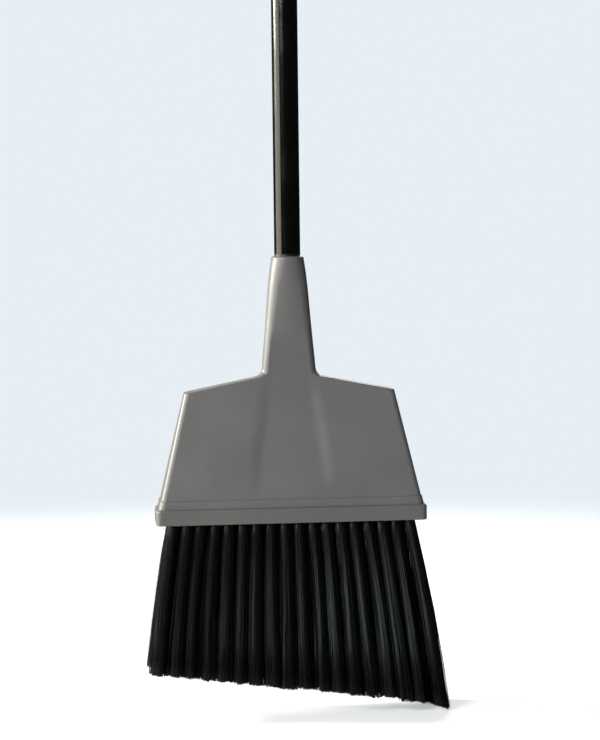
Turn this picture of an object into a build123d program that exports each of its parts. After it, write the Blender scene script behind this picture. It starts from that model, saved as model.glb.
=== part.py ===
from build123d import *
import math
import os

# An angle broom. A vinyl-sleeved steel handle screws into a moulded grey head, and three rows of tufts
# hang from a block under the head, fanned out sideways and trimmed at an angle.
# Millimetres and degrees. +Z runs up the handle, +X to the side with the longest bristles, -Y to the front.
# The origin lies under the handle's axis, level with the lowest bristle tip.

# Handle
TUBE_DIAMETER = 22.2
TUBE_WALL = 0.8
TUBE_LENGTH = 965.0
SLEEVE_WALL = 0.8
TIP_FLANGE = 2.0
TIP_PLUG_LENGTH = 36.0
TIP_BORE = 9.0
TIP_END_WALL = 6.0
TIP_CHAMFER = 2.5
STUD_DIAMETER = 19.0
STUD_LENGTH = 38.0
CAP_PLUG_LENGTH = 24.0
CAP_PLUG_WALL = 2.0
CAP_COLLAR = 7.0
CAP_HEIGHT = 34.0
CAP_STEP = 0.4
CAP_TAB = 9.0
CAP_FLAT_ROUND = 2.5
HANG_HOLE = 8.0
HANG_HOLE_DEPTH = 14.0

# Tufts
TUFTS_PER_ROW = 18
ROW_NAMES = ["front", "middle", "back"]
TUFT_PITCH = 12.7
ROW_PITCH = 11.5
TUFT_DIAMETER = 9.5
STRANDS_ACROSS = 3
STRAND = 2.0
STRAND_ROOT = 1.5
TIP_SPREAD_WIDTH = 11.8
TIP_SPREAD_DEPTH = 15.1
FAN_SIDEWAYS = 8.0
FAN_LEAN = 0.9
FAN_FRONT_BACK = 3.5
TRIM_LENGTH = 152.0
TRIM_SLOPE = 6.7
TRIM_HOOK = 5.0
TRIM_HOOK_START = 85.0
STRIP_THICKNESS = 8.0
STRIP_MARGIN = 1.2
ANCHOR_LENGTH = 6.5
ANCHOR_HEIGHT = 3.0
ANCHOR_THICKNESS = 0.6

# Block
BLOCK_HEIGHT = 14.5
BLOCK_END_LAND = 11.5
BLOCK_SIDE_WALL = 4.5
BLOCK_CORNER = 5.0
BLOCK_TOP_ROUND = 2.5
BLOCK_BOTTOM_ROUND = 1.0
SPIGOT_HEIGHT = 8.0
SPIGOT_WALL = 2.4

# Shell
BLOCK_LIP = 3.0
SHELL_WALL = 2.5
SHELL_ROUND = 5.0
ROOF_ROUND = 1.2
SHOULDER_HEIGHT = 105.0
SHOULDER_WIDTH = 193.0
SHOULDER_DEPTH = 20.0
SHOULDER_SLOPE = 11.3
SKIRT_HEIGHT = 7.0
SKIRT_STEP = 0.8
RIB_THICKNESS = 2.0
RIB_PAIRS = 2
RIB_FIRST = 48.0
RIB_SPACING = 28.0
RIB_LIFT = 12.0

# Neck and socket
NECK_HEIGHT = 228.5
NECK_WALL = 3.0
NECK_FILLET = 9.0
NECK_FILLET_SHARE = 0.35
NECK_SPANS = 3
NECK_BASE_HEIGHT = 118.0
NECK_BASE_CHORD = 37.0
NECK_BASE_TURN = 5.0
NECK_BASE_RISE = 0.5
NECK_SIDE_TURN = 10.0
NECK_CORNER_SHARE = 0.78
NECK_ROOT_HEIGHT = 92.0
NECK_ROOT_CHORD = 42.0
NECK_ROOT_SINK = 4.0
MOUTH_DIAMETER = 30.0
MOUTH_TURN = 30.0
MOUTH_LIP = 3.0
MOUTH_ROUND = 2.2
PANEL_DEPTH = 1.1
PANEL_SIDE = 4.2
PANEL_FOOT = 8.0
PANEL_FOOT_WIDTH = 66.0
PANEL_TOP = 150.0
PANEL_TOP_WIDTH = 24.0
PANEL_SPANS = 3
PANEL_FADE = 0.4
SOCKET_SPARE_DEPTH = 6.0
SOCKET_WEB = 4.0
SOCKET_LEAD = 1.0

# Screws
SCREW_DIAMETER = 3.5
SCREW_HEAD = 6.4
SCREW_HEAD_HEIGHT = 2.4
SCREW_BITE = 14.0
SCREW_SEAT_DEPTH = 4.0
SCREW_LAND = 1.2
BOSS_WALL = 1.9
BOSS_END = 2.0

# Clearances
RUNNING_GAP = 0.3
FIT_GAP = 0.1
PRESS_GAP = 0.05

# Sizes that follow from these
HANDLE_RADIUS = TUBE_DIAMETER / 2 + SLEEVE_WALL
CAP_RADIUS = HANDLE_RADIUS - CAP_STEP
TUBE_BORE_RADIUS = TUBE_DIAMETER / 2 - TUBE_WALL
SOCKET_RADIUS = STUD_DIAMETER / 2 + RUNNING_GAP
SOCKET_DEPTH = STUD_LENGTH + SOCKET_SPARE_DEPTH
SCREW_SEAT_RADIUS = SCREW_HEAD / 2 + RUNNING_GAP
BOSS_RADIUS = SCREW_DIAMETER / 2 + PRESS_GAP + BOSS_WALL
BOSS_HEIGHT = SCREW_BITE + BOSS_END
MIDDLE_ROW = len(ROW_NAMES) // 2
BLOCK_LENGTH = TUFT_PITCH * (TUFTS_PER_ROW - 1) + TUFT_DIAMETER + 2 * BLOCK_END_LAND
BLOCK_DEPTH = ROW_PITCH * len(ROW_NAMES) + 2 * BLOCK_SIDE_WALL
SHELL_LENGTH = BLOCK_LENGTH - 2 * BLOCK_LIP
SHELL_DEPTH = BLOCK_DEPTH - 2 * BLOCK_LIP
SHOULDER_RISE = math.tan(math.radians(SHOULDER_SLOPE))
SIDE_RUN = (SHELL_LENGTH - SHOULDER_WIDTH) / 2 / SHOULDER_HEIGHT
FACE_RUN = (SHELL_DEPTH - SHOULDER_DEPTH) / 2 / SHOULDER_HEIGHT
ROOF_HEIGHT = SHOULDER_HEIGHT + SHOULDER_WIDTH / 2 * SHOULDER_RISE
NECK_TOP = NECK_HEIGHT - MOUTH_LIP


def tufts_in_row(row):
    """Rows are staggered: every second one has one tuft less."""
    return TUFTS_PER_ROW - row % 2


def row_offset(row):
    return (row - (len(ROW_NAMES) - 1) / 2) * ROW_PITCH


def tuft_offsets(row):
    count = tufts_in_row(row)
    return [(index - (count - 1) / 2) * TUFT_PITCH for index in range(count)]


def strip_half_length(row):
    return tuft_offsets(row)[-1] + TUFT_DIAMETER / 2 + STRIP_MARGIN


def trim_length(x):
    """How far below the block the bristles are cut: a slanted line that hooks down at its long end."""
    hook = max(0, x - TRIM_HOOK_START) / (BLOCK_LENGTH / 2 - TRIM_HOOK_START)
    return TRIM_LENGTH + math.tan(math.radians(TRIM_SLOPE)) * x + TRIM_HOOK * hook ** 2


def strand_line(row, tuft_x, column, line):
    """One strand's root and tip, with heights measured down from the block's underside."""
    edge_x = tuft_offsets(0)[-1]
    edge_y = row_offset(len(ROW_NAMES) - 1)
    root_spread = (TUFT_DIAMETER - STRAND * math.sqrt(2)) / math.sqrt(2)
    across = column / (STRANDS_ACROSS - 1) - 0.5
    along = line / (STRANDS_ACROSS - 1) - 0.5
    lean_x = math.tan(math.radians(FAN_LEAN + FAN_SIDEWAYS * tuft_x / edge_x))
    lean_y = math.tan(math.radians(FAN_FRONT_BACK * row_offset(row) / edge_y))
    reach = trim_length(tuft_x)
    tip_x = tuft_x + lean_x * reach + across * TIP_SPREAD_WIDTH
    tip_y = row_offset(row) + lean_y * reach + along * TIP_SPREAD_DEPTH
    root = Vector(tuft_x + across * root_spread, row_offset(row) + along * root_spread, 0)
    return root, Vector(tip_x, tip_y, -trim_length(tip_x))


def strand_lines(row):
    places = range(STRANDS_ACROSS)
    return [strand_line(row, x, i, j) for x in tuft_offsets(row) for i in places for j in places]


# Heights: the longest strand sets how high the block stands
RIM_Z = max(-tip.Z for row in range(len(ROW_NAMES)) for root, tip in strand_lines(row))
SHELL_Z = RIM_Z + BLOCK_HEIGHT
MOUTH_Z = SHELL_Z + NECK_HEIGHT
TUBE_Z = MOUTH_Z + TIP_FLANGE
CAP_Z = TUBE_Z + TUBE_LENGTH
SCREW_X = strip_half_length(MIDDLE_ROW) + FIT_GAP + SCREW_LAND + SCREW_SEAT_RADIUS
SCREW_PLACES = (-SCREW_X, SCREW_X)


def ring(outer_radius, inner_radius, bottom, height):
    return extrude(Pos(0, 0, bottom) * (Circle(outer_radius) - Circle(inner_radius)), amount=height)


def post(radius, bottom, height, x=0):
    """A cylinder that stands upright from a height."""
    return Pos(x, 0, bottom + height / 2) * Cylinder(radius, height)


def prism(plane, points, reach):
    """A closed outline on a plane through the handle's axis, extruded to both sides of it."""
    return extrude(plane * make_face(Polyline(points, close=True)), amount=reach, both=True)


# Handle pieces

def handle_tube():
    return ring(TUBE_DIAMETER / 2, TUBE_BORE_RADIUS, TUBE_Z, TUBE_LENGTH)


def handle_sleeve():
    return ring(HANDLE_RADIUS, TUBE_DIAMETER / 2 + PRESS_GAP, TUBE_Z, TUBE_LENGTH)


def threaded_tip():
    """Stud, flange and plug turned in one profile, cored from the plug's end."""
    plug = TUBE_BORE_RADIUS - PRESS_GAP
    stud = STUD_DIAMETER / 2
    core = TIP_BORE / 2
    profile = Polyline(
        (0, TIP_END_WALL - STUD_LENGTH),
        (0, -STUD_LENGTH),
        (stud - TIP_CHAMFER, -STUD_LENGTH),
        (stud, TIP_CHAMFER - STUD_LENGTH),
        (stud, 0),
        (HANDLE_RADIUS, 0),
        (HANDLE_RADIUS, TIP_FLANGE),
        (plug, TIP_FLANGE),
        (plug, TIP_FLANGE + TIP_PLUG_LENGTH),
        (core, TIP_FLANGE + TIP_PLUG_LENGTH),
        (core, TIP_END_WALL - STUD_LENGTH),
        close=True,
    )
    return Pos(0, 0, MOUTH_Z) * revolve(Plane.XZ * make_face(profile), Axis.Z)


def hang_cap():
    """A domed plug cap with two flats that leave a tab, and the hang hole through it."""
    plug = TUBE_BORE_RADIUS - PRESS_GAP
    dome = CenterArc((0, CAP_HEIGHT - CAP_RADIUS), CAP_RADIUS, 0, 90)
    sides = Polyline(
        (0, CAP_HEIGHT),
        (0, 0),
        (plug - CAP_PLUG_WALL, 0),
        (plug - CAP_PLUG_WALL, -CAP_PLUG_LENGTH),
        (plug, -CAP_PLUG_LENGTH),
        (plug, 0),
        (CAP_RADIUS, 0),
        (CAP_RADIUS, CAP_HEIGHT - CAP_RADIUS),
    )
    cap = revolve(Plane.XZ * make_face([dome, sides]), Axis.Z)
    flat_height = CAP_HEIGHT - CAP_COLLAR
    flat = Box(4 * HANDLE_RADIUS, 2 * HANDLE_RADIUS, 2 * flat_height)
    flat = Pos(0, CAP_TAB / 2 + HANDLE_RADIUS, CAP_COLLAR + flat_height) * flat
    flat = fillet(flat.edges().filter_by(Axis.X).group_by(Axis.Z)[0].sort_by(Axis.Y)[0], CAP_FLAT_ROUND)
    hole = Rot(90, 0, 0) * Cylinder(HANG_HOLE / 2, 2 * HANDLE_RADIUS)
    hole = Pos(0, 0, CAP_HEIGHT - HANG_HOLE_DEPTH) * hole
    return Pos(0, 0, CAP_Z) * (cap - flat - mirror(flat, Plane.XZ) - hole)


# Shell

def wings(inset, bottom):
    """The shell's wedge: a front outline with sloping shoulders crossed with a tapering side outline."""
    side_inset = inset * math.hypot(1, SIDE_RUN)
    face_inset = inset * math.hypot(1, FACE_RUN)
    roof = ROOF_HEIGHT - inset * math.hypot(1, SHOULDER_RISE)
    half_width = SHELL_LENGTH / 2 - side_inset
    half_depth = SHELL_DEPTH / 2 - face_inset
    corner_x = (half_width - SIDE_RUN * roof) / (1 - SIDE_RUN * SHOULDER_RISE)
    corner_z = roof - corner_x * SHOULDER_RISE
    foot_x = half_width - SIDE_RUN * bottom
    foot_y = half_depth - FACE_RUN * bottom
    top_y = half_depth - FACE_RUN * ROOF_HEIGHT
    front = [(-foot_x, bottom), (foot_x, bottom), (corner_x, corner_z), (0, roof), (-corner_x, corner_z)]
    side = [(-foot_y, bottom), (foot_y, bottom), (top_y, ROOF_HEIGHT), (-top_y, ROOF_HEIGHT)]
    return prism(Plane.XZ, front, SHELL_DEPTH) & prism(Plane.YZ, side, SHELL_LENGTH)


def neck_outline(height, chord, turn, corner, side_turn, front, inset):
    """A section of the neck: four low arcs that run on into its round corners, drawn in by a wall.

    The front is as wide as the chord and turns by an angle from its middle to the corner, as does the side.
    """
    turn = math.radians(turn)
    side_turn = math.radians(side_turn)
    centre_x = chord / 2 - corner * math.sin(turn)
    centre_y = front - chord / 2 * math.tan(turn / 2) - corner * math.cos(turn)

    def corner_point(angle):
        return centre_x + (corner - inset) * math.sin(angle), centre_y + (corner - inset) * math.cos(angle)
    side_angle = math.pi / 2 - side_turn
    front_x, front_y = corner_point(turn)
    bend_x, bend_y = corner_point((turn + side_angle) / 2)
    side_x, side_y = corner_point(side_angle)
    depth = front - inset
    width = centre_x + corner + centre_y * math.tan(side_turn / 2) - inset
    arcs = [
        ThreePointArc((-front_x, -front_y), (0, -depth), (front_x, -front_y)),
        ThreePointArc((front_x, -front_y), (bend_x, -bend_y), (side_x, -side_y)),
        ThreePointArc((side_x, -side_y), (width, 0), (side_x, side_y)),
        ThreePointArc((side_x, side_y), (bend_x, bend_y), (front_x, front_y)),
        ThreePointArc((front_x, front_y), (0, depth), (-front_x, front_y)),
        ThreePointArc((-front_x, front_y), (-bend_x, bend_y), (-side_x, side_y)),
        ThreePointArc((-side_x, side_y), (-width, 0), (-side_x, -side_y)),
        ThreePointArc((-side_x, -side_y), (-bend_x, -bend_y), (-front_x, -front_y)),
    ]
    return Pos(0, 0, height) * make_face(arcs)


def wing_front(height):
    """Half the shell's depth at a height."""
    return SHELL_DEPTH / 2 - FACE_RUN * height


def neck_share(height):
    """0 at the neck's top and 1 at its base."""
    return (NECK_TOP - height) / (NECK_TOP - NECK_BASE_HEIGHT)


def between(mouth, base, share):
    return mouth + share * (base - mouth)


def neck_front(height):
    """Half the neck's depth at a height: at its base it is nearly flush with the shell's face."""
    return between(MOUTH_DIAMETER / 2, wing_front(NECK_BASE_HEIGHT) + NECK_BASE_RISE, neck_share(height))


def neck_section(height, inset):
    """A section between the round mouth and the flat-fronted base, which flattens quickly below the mouth."""
    share = neck_share(height)
    flattening = 1 - (1 - share) ** 2
    round_chord = MOUTH_DIAMETER * math.sin(math.radians(MOUTH_TURN))
    return neck_outline(
        height,
        between(round_chord, NECK_BASE_CHORD, share),
        between(MOUTH_TURN, NECK_BASE_TURN, flattening),
        between(MOUTH_DIAMETER / 2, NECK_CORNER_SHARE * neck_front(NECK_BASE_HEIGHT), flattening),
        between(MOUTH_TURN, NECK_SIDE_TURN, flattening),
        neck_front(height),
        inset,
    )


def neck(top, inset):
    """The socket's outside, which flattens downwards and ends inside the shell."""
    step = (top - NECK_BASE_HEIGHT) / NECK_SPANS
    sections = [neck_section(top - span * step, inset) for span in range(NECK_SPANS, -1, -1)]
    front = wing_front(NECK_ROOT_HEIGHT) - NECK_ROOT_SINK
    corner = NECK_CORNER_SHARE * front
    root = neck_outline(NECK_ROOT_HEIGHT, NECK_ROOT_CHORD, NECK_BASE_TURN, corner, NECK_SIDE_TURN, front, inset)
    return loft([root] + sections)


def panel():
    """What is cut away down the front, from the neck to the foot: a shallow trough that fades out at both ends."""
    def section(height, floor):
        share = (height - PANEL_FOOT) / (PANEL_TOP - PANEL_FOOT)
        width = PANEL_FOOT_WIDTH + share * (PANEL_TOP_WIDTH - PANEL_FOOT_WIDTH)
        flare = width + 8 * PANEL_SIDE
        outer = floor + 4 * PANEL_DEPTH
        points = [(-width / 2, -floor), (width / 2, -floor), (flare / 2, -outer), (-flare / 2, -outer)]
        return Pos(0, 0, height) * make_face(Polyline(points, close=True))
    step = (NECK_BASE_HEIGHT - PANEL_FOOT) / PANEL_SPANS
    heights = [PANEL_FOOT + step * (span + 1) for span in range(PANEL_SPANS)]
    foot = section(PANEL_FOOT, wing_front(PANEL_FOOT) + PANEL_FADE)
    middle = [section(height, wing_front(height) - PANEL_DEPTH) for height in heights]
    top = section(PANEL_TOP, neck_front(PANEL_TOP) + PANEL_FADE)
    return loft([foot] + middle + [top])


def shell_outline(height, step):
    """The shell's section at a height, widened by a step."""
    width = SHELL_LENGTH - 2 * SIDE_RUN * height + 2 * step
    depth = 2 * wing_front(height) + 2 * step
    return Pos(0, 0, height) * RectangleRounded(width, depth, SHELL_ROUND + step)


def skirt():
    """The step round the shell's lower edge, with a sloping top that runs on into the shell."""
    sections = [
        shell_outline(0, SKIRT_STEP),
        shell_outline(SKIRT_HEIGHT, SKIRT_STEP),
        shell_outline(SKIRT_HEIGHT + 2 * SKIRT_STEP, -SKIRT_STEP),
    ]
    return loft(sections, ruled=True)


def ribs():
    bottom = SPIGOT_HEIGHT + RIB_LIFT
    rib = Pos(0, 0, bottom + ROOF_HEIGHT / 2) * Box(RIB_THICKNESS, SHELL_DEPTH, ROOF_HEIGHT)
    places = [side * (RIB_FIRST + pair * RIB_SPACING) for pair in range(RIB_PAIRS) for side in (-1, 1)]
    return [Pos(x, 0, 0) * rib for x in places]


def bosses(gap):
    """A screw boss near each end of the shell, with a web to the end wall."""
    boss = post(BOSS_RADIUS + gap, 0, BOSS_HEIGHT)
    web_length = SHELL_LENGTH / 2 - SCREW_X
    web = Pos(web_length / 2, 0, BOSS_HEIGHT / 2) * Box(web_length, RIB_THICKNESS + 2 * gap, BOSS_HEIGHT)
    right = Pos(SCREW_X, 0, 0) * (boss + web)
    return [right, mirror(right, Plane.YZ)]


def head_shell():
    body = wings(0, 0)
    body = fillet(body.edges().filter_by(lambda edge: edge.bounding_box().size.Z > SHOULDER_HEIGHT / 2), SHELL_ROUND)
    rim = body.edges().filter_by(lambda edge: edge.center().Z > SHOULDER_HEIGHT / 2 and edge.center().X != 0)
    body = fillet(rim.filter_by(lambda edge: edge.bounding_box().size.Z < SHOULDER_HEIGHT / 2), ROOF_ROUND)
    spine = neck(NECK_TOP, 0)
    outside = body + spine
    # The seam's rounding has to fit on the length over which the neck sinks into the shell
    seam_round = min(NECK_FILLET, NECK_FILLET_SHARE * (NECK_BASE_HEIGHT - NECK_ROOT_HEIGHT))
    outside = fillet(new_edges(body, spine, combined=outside), seam_round)
    lip = post(MOUTH_DIAMETER / 2, NECK_TOP, MOUTH_LIP)
    outside += fillet(lip.faces().sort_by(Axis.Z)[-1].edges(), MOUTH_ROUND)
    outside -= [panel(), mirror(panel(), Plane.XZ)]
    outside += skirt()
    core_top = NECK_HEIGHT - SOCKET_DEPTH - SOCKET_WEB
    hollow = wings(SHELL_WALL, -SHELL_WALL) + neck(core_top, NECK_WALL)
    inner = [piece & wings(SHELL_WALL / 2, 0) for piece in ribs() + bosses(0)]
    shell = outside - hollow + inner
    socket = post(SOCKET_RADIUS, NECK_HEIGHT - SOCKET_DEPTH, SOCKET_DEPTH)
    lead = Cone(SOCKET_RADIUS, SOCKET_RADIUS + SOCKET_LEAD, SOCKET_LEAD)
    lead = Pos(0, 0, NECK_HEIGHT - SOCKET_LEAD / 2) * lead
    pilots = [post(SCREW_DIAMETER / 2 + PRESS_GAP, 0, SCREW_BITE, x) for x in SCREW_PLACES]
    return Pos(0, 0, SHELL_Z) * (shell - [socket, lead] - pilots)


# Block and its screws

def strip(row, gap):
    """The slice of the block that one row of tufts is set in."""
    length = 2 * (strip_half_length(row) + gap)
    width = ROW_PITCH + 2 * gap
    return Pos(0, row_offset(row), STRIP_THICKNESS / 2) * Box(length, width, STRIP_THICKNESS)


def spigot():
    """The low wall on the block that fits inside the shell's foot."""
    def outline(height, wall):
        width = SHELL_LENGTH - 2 * SIDE_RUN * height - 2 * wall
        depth = SHELL_DEPTH - 2 * FACE_RUN * height - 2 * wall
        return Pos(0, 0, height) * RectangleRounded(width, depth, SHELL_ROUND)
    outer_wall = SHELL_WALL * math.hypot(1, SIDE_RUN) + RUNNING_GAP
    inner_wall = outer_wall + SPIGOT_WALL
    outer = loft([outline(0, outer_wall), outline(SPIGOT_HEIGHT, outer_wall)], ruled=True)
    inner = loft([outline(0, inner_wall), outline(SPIGOT_HEIGHT, inner_wall)], ruled=True)
    return outer - inner - bosses(RUNNING_GAP)


def tuft_block():
    block = extrude(RectangleRounded(BLOCK_LENGTH, BLOCK_DEPTH, BLOCK_CORNER), amount=BLOCK_HEIGHT)
    block = fillet(block.faces().sort_by(Axis.Z)[-1].edges(), BLOCK_TOP_ROUND)
    block = fillet(block.faces().sort_by(Axis.Z)[0].edges(), BLOCK_BOTTOM_ROUND)
    block -= [strip(row, FIT_GAP) for row in range(len(ROW_NAMES))]
    block += Pos(0, 0, BLOCK_HEIGHT) * spigot()
    for x in SCREW_PLACES:
        block -= post(SCREW_SEAT_RADIUS, 0, SCREW_SEAT_DEPTH, x)
        block -= post(SCREW_DIAMETER / 2 + FIT_GAP, 0, BLOCK_HEIGHT, x)
    return Pos(0, 0, RIM_Z) * block


def block_screws():
    shank_length = BLOCK_HEIGHT - SCREW_SEAT_DEPTH + SCREW_BITE - BOSS_END
    shank = post(SCREW_DIAMETER / 2, 0, shank_length)
    head = post(SCREW_HEAD / 2, -SCREW_HEAD_HEIGHT, SCREW_HEAD_HEIGHT)
    return Compound([Pos(x, 0, RIM_Z + SCREW_SEAT_DEPTH) * (shank + head) for x in SCREW_PLACES])


# Tufts

def anchor(row, x, gap):
    """A flat wire anchor across a tuft's root, flush with the top of the strip."""
    height = ANCHOR_HEIGHT
    box = Box(ANCHOR_LENGTH + 2 * gap, ANCHOR_THICKNESS + 2 * gap, height)
    return Pos(x, row_offset(row), STRIP_THICKNESS - height / 2) * box


def tuft_anchors():
    rows = range(len(ROW_NAMES))
    return Compound([Pos(0, 0, RIM_Z) * anchor(row, x, 0) for row in rows for x in tuft_offsets(row)])


def bristle_row(row):
    """A strip with its strands, each a square rod that runs straight from its root to the trim line."""
    base = strip(row, -FIT_GAP) - [anchor(row, x, FIT_GAP) for x in tuft_offsets(row)]
    strands = []
    for root, tip in strand_lines(row):
        line = tip - root
        start = root + line * (STRAND_ROOT / line.Z)
        end = Pos(start) * Rectangle(STRAND, STRAND)
        strands.append(Solid.extrude(end.face(), tip - start))
    return Pos(0, 0, RIM_Z) * (base + strands)


parts = {
    "handle_tube": handle_tube(),
    "handle_sleeve": handle_sleeve(),
    "threaded_tip": threaded_tip(),
    "hang_cap": hang_cap(),
    "head_shell": head_shell(),
    "tuft_block": tuft_block(),
    "block_screws": block_screws(),
    "tuft_anchors": tuft_anchors(),
}
for row, row_name in enumerate(ROW_NAMES):
    parts["bristle_row_" + row_name] = bristle_row(row)

os.makedirs("parts", exist_ok=True)
for name, shape in parts.items():
    export_step(shape, os.path.join("parts", name + ".step"))
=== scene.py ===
import math

import bmesh
import bpy
from bpy.props import FloatProperty, FloatVectorProperty, IntProperty, PointerProperty
from mathutils import Matrix, Vector


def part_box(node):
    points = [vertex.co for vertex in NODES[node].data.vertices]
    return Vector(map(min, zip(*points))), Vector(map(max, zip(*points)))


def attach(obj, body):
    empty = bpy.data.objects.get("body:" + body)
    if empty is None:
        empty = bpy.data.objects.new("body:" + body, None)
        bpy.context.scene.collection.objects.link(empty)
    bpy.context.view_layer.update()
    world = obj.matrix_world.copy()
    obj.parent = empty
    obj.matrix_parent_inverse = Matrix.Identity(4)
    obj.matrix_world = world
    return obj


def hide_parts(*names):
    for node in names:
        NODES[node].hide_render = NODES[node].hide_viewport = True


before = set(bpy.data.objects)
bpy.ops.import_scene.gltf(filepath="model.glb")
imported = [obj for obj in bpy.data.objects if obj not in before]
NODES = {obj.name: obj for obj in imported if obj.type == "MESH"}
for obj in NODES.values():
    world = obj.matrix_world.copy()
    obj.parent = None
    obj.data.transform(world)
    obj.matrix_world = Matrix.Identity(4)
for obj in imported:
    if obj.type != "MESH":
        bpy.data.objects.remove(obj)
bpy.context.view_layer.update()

bl_info = {
    "name": "Angle Broom",
    "version": (1, 0, 0),
    "blender": (4, 5, 0),
    "location": "3D View > Sidebar > Broom",
    "description": "Bristles, thread, screws and finishes for an angle broom, on a plain studio stage",
    "category": "Object",
}

# Places read from the frame, in metres
SHELL_LOW, SHELL_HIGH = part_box("head_shell")
BLOCK_LOW, BLOCK_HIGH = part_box("tuft_block")
SCREW_LOW, SCREW_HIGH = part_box("block_screws")
_, TIP_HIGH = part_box("threaded_tip")
_, SLEEVE_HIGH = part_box("handle_sleeve")
_, TUBE_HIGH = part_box("handle_tube")
ANCHOR_LOW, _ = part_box("tuft_anchors")
RIM = BLOCK_LOW.z
MOUTH = SHELL_HIGH.z
BLOCK_LENGTH = BLOCK_HIGH.x - BLOCK_LOW.x
ROW_NAMES = ("front", "middle", "back")

# Fineness of the meshes
FULL_TURN = 2 * math.pi
RING_STEPS = 96
HOLE_STEPS = 24
SHARP_ANGLE = math.radians(40)
WELD = 1e-6
ROW_DIGITS = 4  # the anchors of a row are alike in depth to this many digits of a metre

# Form of a screw
HEAD_STEPS = 12  # rings across the head's face
HEAD_CROWN = 0.45  # share of the head's height that its face is domed by
CROWN_POWER = 4  # how flat the dome is in its middle
SCREW_CREST = 0.12  # share of the pitch
SCREW_FLANK = 0.3  # share of the pitch
SCREW_ROWS = 8  # rows of the mesh in one turn
POINT_SLOPE = 0.8  # radius against height at the point

# Form of a filament and its place in the tuft
FILAMENT_SIDES = 3
FILAMENT_POINTS = 6
FILAMENT_TAPER = 0.35  # share of its thickness that is lost on the way to the tip
ROOT_CROWDING = 1.4  # above 1 sets a filament's points closer near its root
GOLDEN_TURN = math.pi * (3 - math.sqrt(5))  # from one filament to the next, which spreads them evenly
CLUMP_GAIN = 4.0  # widens the noise to about -1 to 1
CLUMP_PATCH = 5.0  # gives each tuft another patch of the noise
ROW_SEEDS = 100  # from the seed of one row to that of the next

# Shading of the shell's recessed panel, in metres, with heights above the shell's foot
PANEL_FOOT_HALF = 0.0345  # half of its width at the foot
PANEL_TAPER = 0.148  # what that half loses with height
PANEL_EDGE = 0.004  # how far outside it the shaded edge lies
PANEL_SOFTNESS = 0.010  # half of the shaded edge's width
PANEL_SLOPE = 0.19  # how far the shaded edge turns the normals
PANEL_START = (0.008, 0.04)  # heights over which the shaded edge sets in
PANEL_FADE = (0.08, 0.125)  # heights over which it fades
PANEL_FADED = 0.75  # share of it that fades
PANEL_SIDE = (0.005, 0.008)  # distances outside it over which the flattening of its own edges ends
PANEL_TOP = (0.15, 0.165)  # heights over which that flattening ends
SIDEWAYS = (0.28, 0.45)  # sideways parts of a normal over which a face stops counting as forwards

# Softboxes: where each stands, what it faces, its width and height, its colour and its beam's spread
STAGE_MIDDLE = (0.0, 0.0, 0.4)
WHITE = (1.0, 1.0, 1.0)
SOFTBOXES = {
    "fill": ((-1.18, -1.62, 1.2), STAGE_MIDDLE, (0.7, 0.6), WHITE, math.pi),
    "key": ((-1.95, 0.45, 0.95), STAGE_MIDDLE, (0.4, 0.3), (1.0, 0.96, 0.88), math.pi),
    "card": ((-1.6, -0.1, 0.5), STAGE_MIDDLE, (1.7, 0.7), (1.0, 0.93, 0.76), math.pi),
    "back": ((0.52, 1.93, 1.3), STAGE_MIDDLE, (1.0, 0.8), WHITE, math.pi),
    "sheen": ((-0.1, -0.3, 0.045), (0.12, 0.0, 0.09), (0.2, 0.09), (0.72, 0.9, 1.0), math.radians(50)),
}

# The camera's sensor, in millimetres
SENSOR_WIDTH = 36.0


# Settings

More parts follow.
